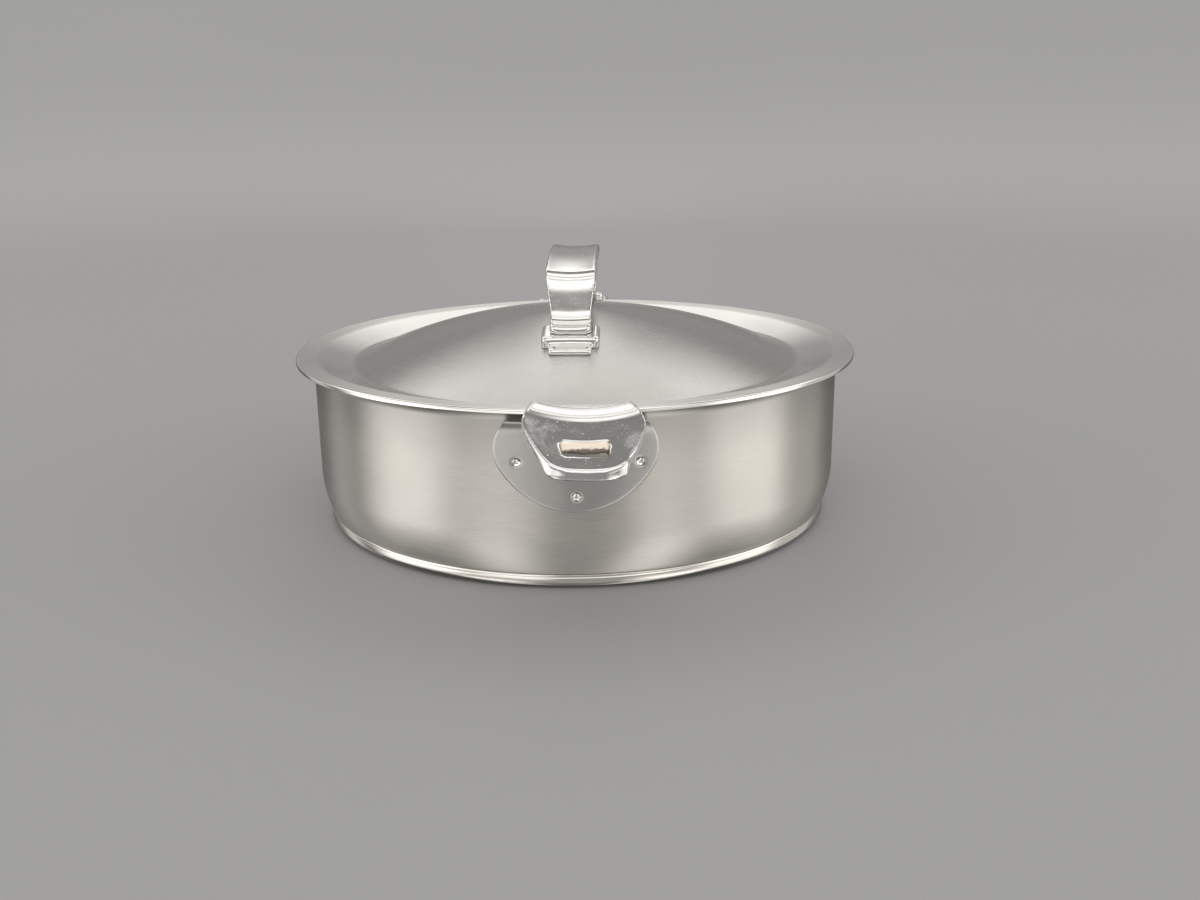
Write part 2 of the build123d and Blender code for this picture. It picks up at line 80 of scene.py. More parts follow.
def spread(points, step=6.0):
    """Adds points along long straight runs and drops doubles."""
    out = [points[0]]
    for p in points[1:]:
        q = out[-1]
        d = math.hypot(p[0] - q[0], p[1] - q[1])
        if d < 1e-4:
            continue
        n = max(1, int(math.ceil(d / step)))
        for i in range(1, n + 1):
            out.append((q[0] + (p[0] - q[0]) * i / n, q[1] + (p[1] - q[1]) * i / n))
    return out


def soften(points, r, n=3):
    """Rounds each corner sharper than 25 degrees with a small radius."""
    out = [points[0]]
    for i in range(1, len(points) - 1):
        a, b, c = (np.array(points[j], float) for j in (i - 1, i, i + 1))
        u, v = a - b, c - b
        lu, lv = np.linalg.norm(u), np.linalg.norm(v)
        turn = math.pi - math.acos(max(-1, min(1, float(u @ v) / (lu * lv))))
        if turn < math.radians(25):
            out.append(tuple(b))
            continue
        d = min(r * math.tan(turn / 2), lu * 0.45, lv * 0.45)
        p, q = b + u / lu * d, b + v / lv * d
        for k in range(n + 1):
            t = k / n
            out.append(tuple((1 - t) ** 2 * p + 2 * t * (1 - t) * b + t * t * q))
    out.append(points[-1])
    return out


def revolve(name, profile, segs, body, stands_for):
    """A closed body of revolution from a profile of (radius, height) in mm that starts and ends on the axis."""
    rings, verts = [], []
    for r, z in profile:
        if r < 1e-6:
            rings.append([len(verts)])
            verts.append((0.0, 0.0, z * MM))
        else:
            start = len(verts)
            for k in range(segs):
                a = 2 * math.pi * k / segs
                verts.append((r * MM * math.cos(a), r * MM * math.sin(a), z * MM))
            rings.append(list(range(start, start + segs)))
    faces = []
    for lo, hi in zip(rings, rings[1:]):
        for k in range(segs):
            m = (k + 1) % segs
            if len(lo) == 1:
                faces.append((lo[0], hi[m], hi[k]))
            elif len(hi) == 1:
                faces.append((lo[k], lo[m], hi[0]))
            else:
                faces.append((lo[k], lo[m], hi[m], hi[k]))
    mesh = bpy.data.meshes.new(name)
    mesh.from_pydata(verts, [], faces)
    mesh.update()
    bm = bmesh.new()
    bm.from_mesh(mesh)
    bmesh.ops.recalc_face_normals(bm, faces=bm.faces)
    bm.to_mesh(mesh)
    bm.free()
    obj = bpy.data.objects.new(name, mesh)
    bpy.context.scene.collection.objects.link(obj)
    finish_piece(obj, body, stands_for, sharp=50)
    return obj


def cast(name, sources, voxel, passes, body, stands_for, flow=0.5):
    """A copy of CAD nodes with every edge rounded off evenly, as polishing or pressing leaves it."""
    bm = bmesh.new()
    for s in sources:
        bm.from_mesh(nodes[s].data)
    bmesh.ops.remove_doubles(bm, verts=bm.verts, dist=2e-6)
    mesh = bpy.data.meshes.new(name + "_source")
    bm.to_mesh(mesh)
    bm.free()
    source = bpy.data.objects.new(name + "_source", mesh)
    bpy.context.scene.collection.objects.link(source)
    m = source.modifiers.new("even", "REMESH")
    m.mode = "VOXEL"
    m.voxel_size = voxel * MM
    m.adaptivity = 0.0
    graph = bpy.context.evaluated_depsgraph_get()
    made = bpy.data.meshes.new_from_object(source.evaluated_get(graph))
    bpy.data.objects.remove(source)
    bpy.data.meshes.remove(mesh)
    made.name = name
    co = np.zeros(len(made.vertices) * 3)
    made.vertices.foreach_get("co", co)
    co = co.reshape(-1, 3)
    e = np.zeros(len(made.edges) * 2, np.int64)
    made.edges.foreach_get("vertices", e)
    e = e.reshape(-1, 2)
    n = len(co)
    count = np.bincount(e.ravel(), minlength=n).astype(float)
    count[count == 0] = 1
    for _ in range(passes):
        total = np.zeros_like(co)
        for k in range(3):
            total[:, k] = np.bincount(e[:, 0], weights=co[e[:, 1], k], minlength=n) + np.bincount(
                e[:, 1], weights=co[e[:, 0], k], minlength=n
            )
        co += flow * (total / count[:, None] - co)
    made.vertices.foreach_set("co", co.ravel())
    made.materials.clear()
    made.update()
    obj = bpy.data.objects.new(name, made)
    bpy.context.scene.collection.objects.link(obj)
    finish_piece(obj, body, stands_for)
    return obj


# -------------------------------------------------------------- turned pieces
# The same dimensions as the CAD source, in mm.
WALL_R, WALL_T, WALL_TOP = 140.8, 0.8, 81.0
BEND_Z, BEND_R, FLOOR_Z, HEEL_R = 27.8, 50.0, 5.0, 6.0
bend_c = (WALL_R - BEND_R, BEND_Z)
heel_cz = FLOOR_Z + HEEL_R
heel_c = (bend_c[0] + math.sqrt((BEND_R - HEEL_R) ** 2 - (BEND_Z - heel_cz) ** 2), heel_cz)
join_a = angle_of(bend_c, heel_c)
flare_c, FLARE_R, FLARE = (WALL_R + 6.0, WALL_TOP), 6.0, 80.0

vessel = [(0, FLOOR_Z)]
vessel += arc(heel_c, HEEL_R, -90, join_a, 10)
vessel += arc(bend_c, BEND_R, join_a, 0, 22)
vessel += arc(flare_c, FLARE_R, 180, 180 - FLARE, 16)
vessel += arc(flare_c, FLARE_R + WALL_T, 180 - FLARE, 180, 16)
vessel += arc(bend_c, BEND_R - WALL_T, 0, join_a, 22)
vessel += arc(heel_c, HEEL_R - WALL_T, join_a, -90, 10)
vessel += [(0, FLOOR_Z + WALL_T)]
vessel = soften(spread(vessel), 0.36)
pot = revolve("vessel", vessel, 480, "pot", ("pot_body",))

CAP_R, CAP_ROUND, CAP_T, CAP_TOP = 136.7, 3.6, 0.6, 7.0
seam_r = heel_c[0] + math.sqrt(HEEL_R ** 2 - (heel_cz - CAP_TOP) ** 2)
cap = [(0, 0)]
cap += arc((CAP_R - CAP_ROUND, CAP_ROUND), CAP_ROUND, -90, 0, 14)
cap += [(CAP_R, 5.45), (CAP_R - 0.3, 5.8), (CAP_R - 0.1, 6.1), (CAP_R - 0.15, 6.8), (CAP_R - 0.4, CAP_TOP + 0.05), (seam_r, CAP_TOP)]
cap += arc((seam_r - 3.4, CAP_ROUND + 0.4), 3.4, 0, -90, 6)
cap += [(0, CAP_T)]
cap = soften(spread(cap), 0.16)
base = revolve("base_shell", cap, 480, "pot", ("base_cap",))

LID_R, LID_T, RIM_Z, LIP_H = 150.0, 0.8, 89.0, 2.3
DOME_R, DOME_Z, DOME_TOP = 118.0, 83.4, 108.4
sag = DOME_TOP - DOME_Z
dome_rad = (DOME_R ** 2 + sag ** 2) / (2 * sag)
dome_cz = DOME_TOP - dome_rad


def dome_at(r, lift=0.0):
    return dome_cz + math.sqrt((dome_rad + lift) ** 2 - r ** 2)


def down(p, a, t):
    return (p[0] + t * math.sin(math.radians(a)), p[1] - t * math.cos(math.radians(a)))


GROOVE_R, GROOVE_Z, RISE, FLANGE, SHOULDER, LIP = 6.0, 82.6, 18.5, 2.9, 6.0, 1.0
g_cz = GROOVE_Z + GROOVE_R
g_c = (math.sqrt((dome_rad + GROOVE_R) ** 2 - (g_cz - dome_cz) ** 2), g_cz)
dome_dir = math.degrees(math.atan2(g_cz - dome_cz, g_c[0]))       # direction of the groove's centre from the dome's
rise_0 = down(g_c, RISE, GROOVE_R)
tan_r, tan_f = math.tan(math.radians(RISE)), math.tan(math.radians(FLANGE))
corner_r = (88.5 - rise_0[1] + tan_r * rise_0[0] - tan_f * 139.2) / (tan_r - tan_f)
corner = (corner_r, rise_0[1] + tan_r * (corner_r - rise_0[0]))
trim = SHOULDER * math.tan(math.radians((RISE - FLANGE) / 2))
rise_1 = (corner[0] - trim * math.cos(math.radians(RISE)), corner[1] - trim * math.sin(math.radians(RISE)))
flange_0 = (corner[0] + trim * math.cos(math.radians(FLANGE)), corner[1] + trim * math.sin(math.radians(FLANGE)))
shoulder_c = down(rise_1, RISE, SHOULDER)
flange_1 = (LID_R - LIP, flange_0[1] + (LID_R - LIP - flange_0[0]) * tan_f)
lip_c = (LID_R - LIP, flange_1[1] - LIP)

dome_c = (0.0, dome_cz)
lid = []
lid += arc(dome_c, dome_rad, 90, dome_dir, 60)
lid += arc(g_c, GROOVE_R, dome_dir - 180, -90 + RISE, 12)
lid += arc(shoulder_c, SHOULDER, 90 + RISE, 90 + FLANGE, 8)
lid += arc(lip_c, LIP, 90 + FLANGE, 0, 8)
lid += [(LID_R, RIM_Z - LIP_H + 0.3), (LID_R - 0.25, RIM_Z - LIP_H), (LID_R - LID_T, RIM_Z - LIP_H)]
lid += [(LID_R - LID_T, lip_c[1]), down(flange_1, FLANGE, LID_T)]
lid += arc(shoulder_c, SHOULDER - LID_T, 90 + FLANGE, 90 + RISE, 8)
lid += arc(g_c, GROOVE_R + LID_T, -90 + RISE, dome_dir - 180, 12)
lid += arc(dome_c, dome_rad - LID_T, dome_dir, 90, 60)
lid[0], lid[-1] = (0.0, DOME_TOP), (0.0, DOME_TOP - LID_T)
lid = soften(spread(lid), 0.14)
lid_piece = revolve("lid_plate", lid, 480, "lid", ("lid_shell",))

# ---------------------------------------------------------- cast and bent pieces
front_grip = cast("front_grip", ["front_handle_grip"], 0.40, 22, "pot", ("front_handle_grip",))
rear_grip = cast("rear_grip", ["rear_handle_grip"], 0.40, 22, "pot", ("rear_handle_grip",))
front_sheet = cast("front_plate", ["front_handle_plate"], 0.30, 48, "pot", ("front_handle_plate",))
rear_sheet = cast("rear_plate", ["rear_handle_plate"], 0.30, 48, "pot", ("rear_handle_plate",))
strap = cast("lid_strap", ["lid_handle_arch"], 0.40, 18, "lid", ("lid_handle_arch",))
front_foot = cast("front_foot", ["lid_handle_front_foot"], 0.35, 10, "lid", ("lid_handle_front_foot",))
rear_foot = cast("rear_foot", ["lid_handle_rear_foot"], 0.35, 10, "lid", ("lid_handle_rear_foot",))

PLATE_T, SPOT_R, SPOT_DEPTH = 1.4, 1.8, 0.7
SPOTS = [(-27.4, 62.4), (-0.8, 46.6), (28.0, 62.0)]


def weld_bowls(name, side, drop, node):
    """Three small closed plugs with hollow faces, one in each hole of a plate."""
    verts, faces = [], []
    rings, segs = 9, 32
    for sx, sz in SPOTS:
        sz -= drop
        first = len(verts)
        for layer in (0, 1):
            for i in range(rings + 1):
                rho = SPOT_R * i / rings
                for k in range(segs if i else 1):
                    a = 2 * math.pi * k / segs
                    x, z = sx + rho * math.cos(a), sz + rho * math.sin(a)
                    t = (rho / SPOT_R) ** 2
                    rad = WALL_R + PLATE_T - SPOT_DEPTH - 0.25 + (SPOT_DEPTH - 0.10) * t if layer == 0 else WALL_R + 0.02
                    y = -math.sqrt(rad ** 2 - x ** 2)
                    verts.append((side * x * MM, side * y * MM, z * MM))
        per = 1 + rings * segs
        for layer in (0, 1):
            o = first + layer * per
            for k in range(segs):
                m = (k + 1) % segs
                faces.append((o, o + 1 + k, o + 1 + m))
                for i in range(1, rings):
                    p, q = o + 1 + (i - 1) * segs, o + 1 + i * segs
                    faces.append((p + k, q + k, q + m, p + m))
        o1, o2 = first + 1 + (rings - 1) * segs, first + per + 1 + (rings - 1) * segs
        for k in range(segs):
            m = (k + 1) % segs
            faces.append((o1 + k, o2 + k, o2 + m, o1 + m))
    mesh = bpy.data.meshes.new(name)
    mesh.from_pydata(verts, [], faces)
    bm = bmesh.new()
    bm.from_mesh(mesh)
    bmesh.ops.recalc_face_normals(bm, faces=bm.faces)
    bm.to_mesh(mesh)
    bm.free()
    obj = bpy.data.objects.new(name, mesh)
    bpy.context.scene.collection.objects.link(obj)
    finish_piece(obj, "pot", (node,), sharp=45)
    return obj


front_welds = weld_bowls("front_weld_spots", 1, 0.0, "front_handle_welds")
rear_welds = weld_bowls("rear_weld_spots", -1, 3.2, "rear_handle_welds")


# ------------------------------------------------------------------- materials
class Look:
    def __init__(self, name, color, rough, metal=1.0):
        self.mat = bpy.data.materials.new(name)
        self.mat.use_nodes = True
        self.tree = self.mat.node_tree
        self.tree.nodes.clear()
        self.out = self.tree.nodes.new("ShaderNodeOutputMaterial")
        self.b = self.tree.nodes.new("ShaderNodeBsdfPrincipled")
        self.tree.links.new(self.b.outputs[0], self.out.inputs[0])
        self.b.inputs["Base Color"].default_value = (*color, 1)
        self.b.inputs["Roughness"].default_value = rough
        self.b.inputs["Metallic"].default_value = metal
        self.coord = self.tree.nodes.new("ShaderNodeTexCoord").outputs["Object"]

    def put(self, socket, value):
        if isinstance(value, bpy.types.NodeSocket):
            self.tree.links.new(value, socket)
        elif value is not None:
            socket.default_value = value

    def math(self, op, a, b=None, c=None, clamp=False):
        n = self.tree.nodes.new("ShaderNodeMath")
        n.operation = op
        n.use_clamp = clamp
        for i, v in enumerate((a, b, c)):
            if v is not None:
                self.put(n.inputs[i], v)
        return n.outputs[0]

    def vec(self, op, a, b=None, scale=None):
        n = self.tree.nodes.new("ShaderNodeVectorMath")
        n.operation = op
        self.put(n.inputs[0], a)
        if b is not None:
            self.put(n.inputs[1], b)
        if scale is not None:
            self.put(n.inputs["Scale"], scale)
        return n.outputs["Value"] if op in ("LENGTH", "DISTANCE", "DOT_PRODUCT") else n.outputs[0]

    def xyz(self, v):
        n = self.tree.nodes.new("ShaderNodeSeparateXYZ")
        self.put(n.inputs[0], v)
        return n.outputs[0], n.outputs[1], n.outputs[2]

    def join(self, x, y, z):
        n = self.tree.nodes.new("ShaderNodeCombineXYZ")
        for i, v in enumerate((x, y, z)):
            self.put(n.inputs[i], v)
        return n.outputs[0]

    def noise(self, vector, scale=1.0, detail=2.0, rough=0.5, distortion=0.0):
        n = self.tree.nodes.new("ShaderNodeTexNoise")
        self.put(n.inputs["Vector"], vector)
        n.inputs["Scale"].default_value = scale
        n.inputs["Detail"].default_value = detail
        n.inputs["Roughness"].default_value = rough
        n.inputs["Distortion"].default_value = distortion
        return n.outputs["Fac"]

    def cells(self, vector, scale, randomness=1.0):
        n = self.tree.nodes.new("ShaderNodeTexVoronoi")
        self.put(n.inputs["Vector"], vector)
        n.inputs["Scale"].default_value = scale
        n.inputs["Randomness"].default_value = randomness
        return n.outputs["Distance"], n.outputs["Color"]

    def span(self, v, a, b, c, d, smooth=True):
        n = self.tree.nodes.new("ShaderNodeMapRange")
        n.interpolation_type = "SMOOTHSTEP" if smooth else "LINEAR"
        for i, x in enumerate((v, a, b, c, d)):
            self.put(n.inputs[i], x)
        return n.outputs[0]

    def mix(self, f, a, b):
        n = self.tree.nodes.new("ShaderNodeMix")
        n.data_type = "RGBA"
        self.put(n.inputs[0], f)
        self.put(n.inputs[6], (*a, 1) if isinstance(a, tuple) else a)
        self.put(n.inputs[7], (*b, 1) if isinstance(b, tuple) else b)
        return n.outputs[2]

    def bump(self, height, distance, strength=1.0, normal=None):
        n = self.tree.nodes.new("ShaderNodeBump")
        n.inputs["Strength"].default_value = strength
        n.inputs["Distance"].default_value = distance
        self.put(n.inputs["Height"], height)
        if normal is not None:
            self.put(n.inputs["Normal"], normal)
        return n.outputs[0]

    def rings(self, around, across):
        """Coordinates that run slowly round the axis and fast along the profile, for turned and brushed metal."""
        x, y, z = self.xyz(self.coord)
        r = self.math("MAXIMUM", self.vec("LENGTH", self.join(x, y, 0.0)), 0.0005)
        u = self.math("MULTIPLY", self.math("DIVIDE", x, r), around)
        v = self.math("MULTIPLY", self.math("DIVIDE", y, r), around)
        w = self.math("MULTIPLY", self.math("ADD", z, r), across)
        return self.join(u, v, w)

    def radial_tangent(self):
        n = self.tree.nodes.new("ShaderNodeTangent")
        n.direction_type = "RADIAL"
        n.axis = "Z"
        self.tree.links.new(n.outputs[0], self.b.inputs["Tangent"])

    def specks(self, per_metre, size, share):
        """Fine dust: 1 on a small share of tiny dots."""
        d, c = self.cells(self.coord, per_metre)
        cx = self.xyz(c)[0]
        keep = self.math("LESS_THAN", cx, share)
        radius = self.math("MULTIPLY_ADD", self.xyz(c)[1], size, size * 0.35)
        dot = self.math("LESS_THAN", d, radius)
        return self.math("MULTIPLY", keep, dot)

    def scratches(self, angle, along, across, cut, axis="Z"):
        """Fine straight scratches in one direction: thin crests of stretched noise."""
        n = self.tree.nodes.new("ShaderNodeMapping")
        n.inputs["Rotation"].default_value = angle
        n.inputs["Scale"].default_value = (along, across, across)
        self.put(n.inputs["Vector"], self.coord)
        f = self.noise(n.outputs[0], 1.0, 1.0, 0.4)
        near = self.math("ABSOLUTE", self.math("SUBTRACT", f, 0.5))
        line = self.span(near, 0.0, 0.012, 1.0, 0.0)
        patch = self.span(self.noise(self.coord, 160.0, 1.0), cut, cut + 0.08, 0.0, 1.0)
        return self.math("MULTIPLY", line, patch)


def brushed(name, color, rough, aniso, spread_=0.10, shade=0.10, waves=1.0, marks=(), polish_and_sheen=None, underside_shade=None, painted_tint=None):
    k = Look(name, color, rough)
    fine = k.noise(k.rings(16.0, 5200.0), 1.0, 2.0, 0.6)
    mid = k.noise(k.rings(9.0, 1500.0), 1.0, 2.0, 0.55)
    wide = k.noise(k.rings(5.0, 420.0), 1.0, 2.0, 0.5)
    s = k.math("ADD", k.math("ADD", k.math("MULTIPLY", fine, 0.42), k.math("MULTIPLY", mid, 0.36)), k.math("MULTIPLY", wide, 0.22))
    cloud = k.noise(k.coord, 34.0, 3.0, 0.55)
    smear = k.noise(k.coord, 9.0, 2.0, 0.5)
    # colour: streaks, soft clouds of cleaning film
    t = k.span(s, 0.34, 0.66, 0.0, 1.0, smooth=False)
    lo = tuple(c * (1 - shade) for c in color)
    hi = tuple(min(1.0, c * (1 + shade * 0.7)) for c in color)
    col = k.mix(t, lo, hi)
    warm = tuple(c * f for c, f in zip(color, (0.99, 0.965, 0.92)))
    col = k.mix(k.span(smear, 0.42, 0.70, 0.0, 0.35), col, warm)
    if polish_and_sheen is not None:
        # painted sheen: lighter colour from the first radius out; painted shade: the flange a little back towards the
        # base colour; painted highlight: a near-white band at the rim's edge; the roughness steps further down are the
        # real polished zones
        x, y, z = k.xyz(k.coord)
        radius = k.vec("LENGTH", k.join(x, y, 0.0))
        col = k.mix(k.span(radius, polish_and_sheen[0] * MM, polish_and_sheen[1] * MM, 0.0, 1.0), col, polish_and_sheen[3])
        col = k.mix(k.span(radius, 137.0 * MM, 141.0 * MM, 0.0, 0.2), col, color)
        col = k.mix(k.span(radius, 148.4 * MM, 149.0 * MM, 0.0, 1.0), col, (0.87, 0.86, 0.835))
    if painted_tint is not None:
        # painted shade under the lid's rim: the wall's colour darkens from one height up to another
        lift = k.math("MULTIPLY_ADD", k.noise(k.coord, 26.0, 2.0, 0.5), 9.0 * MM, k.xyz(k.coord)[2])
        col = k.mix(k.span(lift, painted_tint[0] * MM, painted_tint[1] * MM, 0.0, 1.0), col, tuple(c * painted_tint[2] for c in color))
    if underside_shade is not None:
        # painted shade: below a given height the colour drops to 0.42 of itself, for the dark floor by the contact seen
        # in the base's round
        height_z = k.math("MULTIPLY_ADD", k.noise(k.coord, 240.0, 2.0, 0.6), 0.8 * MM, k.xyz(k.coord)[2])
        col = k.mix(k.span(height_z, underside_shade * MM, (underside_shade + 0.9) * MM, 1.0, 0.0), col, tuple(c * 0.42 for c in color))
    k.put(k.b.inputs["Base Color"], col)
    base_r = rough
    if polish_and_sheen is not None:
        base_r = k.span(radius, polish_and_sheen[0] * MM, polish_and_sheen[1] * MM, rough, polish_and_sheen[2])
        base_r = k.math("ADD", base_r, k.span(radius, 137.0 * MM, 141.0 * MM, 0.0, 0.26))
        base_r = k.math("ADD", base_r, k.span(radius, 148.4 * MM, 149.0 * MM, 0.0, 0.11 - polish_and_sheen[2] - 0.26))
    r = k.math("MULTIPLY_ADD", k.math("SUBTRACT", s, 0.5), spread_ * 2.2, base_r)
    r = k.math("MULTIPLY_ADD", k.math("SUBTRACT", cloud, 0.5), 0.10, r)
    height = k.math("ADD", k.math("MULTIPLY", mid, 0.6), k.math("MULTIPLY", wide, 0.8))
    n = k.bump(height, 0.00002, 0.16)
    n = k.bump(k.noise(k.rings(2.2, 26.0), 1.0, 1.0, 0.4), 0.0006, 0.05 * waves, n)
    # a few real scuffs where the photograph shows them
    mark = None
    for (px, py, pz), size, stretch in marks:
        d = k.vec("SUBTRACT", k.coord, (px * MM, py * MM, pz * MM))
        d = k.vec("MULTIPLY", d, stretch)
        m = k.span(k.vec("LENGTH", d), 0.0, size * MM, 1.0, 0.0)
        m = k.math("MULTIPLY", m, k.span(k.noise(k.coord, 900.0, 2.0), 0.40, 0.62, 0.0, 1.0))
        mark = m if mark is None else k.math("MAXIMUM", mark, m)
    hair = k.math("MAXIMUM", k.scratches((0.3, 0.2, 0.5), 40.0, 900.0, 0.60), k.scratches((1.1, -0.4, 2.1), 36.0, 1000.0, 0.62))
    hair = k.math("MULTIPLY", hair, 0.10)
    mark = hair if mark is None else k.math("MAXIMUM", mark, hair)
    n = k.bump(mark, 0.00004, 0.5, n)
    r = k.math("MULTIPLY_ADD", mark, 0.14, r)
    k.put(k.b.inputs["Roughness"], k.math("MINIMUM", k.math("MAXIMUM", r, 0.08), 0.8))
    k.put(k.b.inputs["Normal"], n)
    k.b.inputs["Anisotropic"].default_value = aniso
    k.b.inputs["Anisotropic Rotation"].default_value = 0.25
    k.radial_tangent()
    return k.mat


def polished(name, color, rough, dust=1.0, ripple=1.0, slots=(), worn=()):
    k = Look(name, color, rough)
    smear = k.noise(k.coord, 70.0, 3.0, 0.6, 0.6)
    fine = k.noise(k.coord, 2600.0, 2.0, 0.6)
    ripples = k.noise(k.coord, 210.0, 2.0, 0.45)
    hair = k.scratches((0.2, 0.1, 0.4), 60.0, 2100.0, 0.46)
    hair = k.math("MAXIMUM", hair, k.scratches((0.9, 0.3, 1.3), 70.0, 2300.0, 0.48))
    hair = k.math("MAXIMUM", hair, k.scratches((-0.5, 0.7, 2.4), 55.0, 1900.0, 0.50))
    motes = k.math("MAXIMUM", k.specks(480.0, 0.13, 0.07 * dust), k.specks(1250.0, 0.19, 0.13 * dust))
    rubbed = None
    for (px, py, pz), size in worn:
        # a corner that rubs against other pans: many short fine scratches
        d = k.vec("LENGTH", k.vec("SUBTRACT", k.coord, (px * MM, py * MM, pz * MM)))
        zone = k.span(d, size * 0.35 * MM, size * MM, 1.0, 0.0)
        rub = k.math("MAXIMUM", k.scratches((0.1, 0.3, 1.2), 150.0, 2600.0, 0.10), k.scratches((0.6, -0.2, 2.0), 140.0, 2400.0, 0.10))
        hair = k.math("MAXIMUM", hair, k.math("MULTIPLY", zone, rub))
        rubbed = zone if rubbed is None else k.math("MAXIMUM", rubbed, zone)
    r = k.math("MULTIPLY_ADD", k.span(smear, 0.45, 0.72, 0.0, 1.0), 0.055, rough)
    r = k.math("MULTIPLY_ADD", k.math("SUBTRACT", fine, 0.5), 0.02, r)
    r = k.math("MULTIPLY_ADD", hair, 0.10, r)
    if rubbed is not None:
        r = k.math("MAXIMUM", r, k.math("MULTIPLY", rubbed, k.span(fine, 0.35, 0.65, 0.18, 0.34)))
    r = k.math("MAXIMUM", r, k.math("MULTIPLY", motes, 0.75))
    k.put(k.b.inputs["Roughness"], k.math("MAXIMUM", r, 0.03))
    col = k.mix(k.span(smear, 0.3, 0.7, 0.0, 1.0), tuple(c * 0.955 for c in color), color)
    col = k.mix(k.math("MULTIPLY", hair, 0.22), col, (0.90, 0.90, 0.89))
    for sx, sy, z_tint, z_dark in slots:
        # painted warm light on the walls of a finger slot, and a dark band that gets darker towards the slot's bottom
        x, y, z = k.xyz(k.coord)
        near = k.math("MULTIPLY", k.span(k.math("ABSOLUTE", k.math("SUBTRACT", x, sx * MM)), 10.2 * MM, 11.2 * MM, 1.0, 0.0),
                      k.span(k.math("ABSOLUTE", k.math("SUBTRACT", y, sy * MM)), 4.0 * MM, 5.0 * MM, 1.0, 0.0))
        painted_tint = k.math("MULTIPLY", near, k.span(z, z_tint * MM, (z_tint - 1.2) * MM, 0.0, 0.85))
        slot_dark = k.math("MULTIPLY", near, k.span(k.math("MULTIPLY_ADD", k.noise(k.coord, 700.0, 3.0, 0.6), 2.4 * MM, z), (z_dark + 1.8) * MM, (z_dark + 0.6) * MM, 0.0, 0.9))
        col = k.mix(painted_tint, col, (0.58, 0.50, 0.41))
        col = k.mix(slot_dark, col, (0.16, 0.14, 0.12))
        r = k.math("MAXIMUM", r, k.math("MULTIPLY", painted_tint, 0.16))
        r = k.math("MAXIMUM", r, k.math("MULTIPLY", slot_dark, 0.55))
        k.put(k.b.inputs["Roughness"], k.math("MAXIMUM", r, 0.03))
    col = k.mix(motes, col, (0.92, 0.91, 0.90))
    k.put(k.b.inputs["Base Color"], col)
    k.put(k.b.inputs["Metallic"], k.math("SUBTRACT", 1.0, k.math("MULTIPLY", motes, 0.9)))
    n = k.bump(ripples, 0.0001, 0.10 * ripple)
    n = k.bump(hair, 0.00001, 0.35, n)
    n = k.bump(motes, 0.00008, 0.6, n)
    k.put(k.b.inputs["Normal"], n)
    return k.mat


def satin(name, color, rough, relief=1.0):
    """Even, fine satin of a pressed and blasted sheet."""
    k = Look(name, color, rough)
    fine = k.noise(k.coord, 4200.0, 2.0, 0.6)
    grain = k.noise(k.coord, 900.0, 3.0, 0.6)
    cloud = k.noise(k.coord, 60.0, 3.0, 0.55)
    hair = k.math("MAXIMUM", k.scratches((0.2, 0.4, 0.5), 50.0, 1500.0, 0.52), k.scratches((1.4, 0.1, 1.9), 50.0, 1500.0, 0.54))
    col = k.mix(k.span(cloud, 0.3, 0.7, 0.0, 1.0), tuple(c * 0.94 for c in color), tuple(min(1, c * 1.03) for c in color))
    col = k.mix(k.span(grain, 0.35, 0.65, 0.0, 0.30), col, tuple(c * 0.90 for c in color))
    col = k.mix(k.math("MULTIPLY", hair, 0.2), col, (0.80, 0.80, 0.79))
    k.put(k.b.inputs["Base Color"], col)
    r = k.math("MULTIPLY_ADD", k.math("SUBTRACT", fine, 0.5), 0.12, rough)
    r = k.math("MULTIPLY_ADD", k.math("SUBTRACT", cloud, 0.5), 0.10, r)
    k.put(k.b.inputs["Roughness"], k.math("MAXIMUM", r, 0.1))
    n = k.bump(grain, 0.00003, 0.14 * relief)
    n = k.bump(hair, 0.00001, 0.4 * relief, n)
    k.put(k.b.inputs["Normal"], n)
    return k.mat


# the top band of the wall, from 60 mm up, is painted shade under the lid's rim
wall_steel = brushed("brushed_wall", (0.60, 0.587, 0.556), 0.36, 0.80, painted_tint=(60.0, 86.0, 0.80), marks=(
    ((-104.0, -95.0, 62.0), 3.2, (1.0, 1.0, 1.0)),
    ((-101.0, -98.0, 41.0), 5.5, (0.6, 0.6, 2.6)),
    ((-95.0, -104.0, 45.0), 3.4, (0.5, 0.5, 3.0)),
))
# the lid's outer colour zones are painted sheen, painted shade and a painted rim highlight
lid_steel = brushed("brushed_lid", (0.54, 0.535, 0.525), 0.28, 0.78, spread_=0.06, shade=0.06, waves=0.6, polish_and_sheen=(118.5, 122.5, 0.18, (0.73, 0.725, 0.71)))
# the base's lower round gets painted shade below 3 mm
cap_steel = brushed("turned_base", (0.80, 0.78, 0.735), 0.10, 0.30, spread_=0.03, shade=0.04, waves=0.0, underside_shade=3.0)
plate_look = satin("satin_plate", (0.56, 0.55, 0.54), 0.38)
weld_look = satin("weld_dimple", (0.82, 0.80, 0.755), 0.20, 0.15)
cast_look = polished("polished_cast", (0.77, 0.765, 0.75), 0.055)
# the finger slots get painted warm light on their walls and a band that gets darker towards the bottom
grip_look = polished("polished_grip", (0.72, 0.715, 0.71), 0.055, slots=((2.9, -173.2, 80.6, 77.2), (-2.9, 173.2, 77.4, 74.0)),
                     worn=(((-23.5, -173.0, 79.5), 11.0), ((25.0, -171.0, 80.0), 9.0), ((23.5, 173.0, 76.5), 11.0), ((-25.0, 171.0, 77.0), 9.0)))
core_look = satin("core_sheet", (0.72, 0.72, 0.73), 0.45)

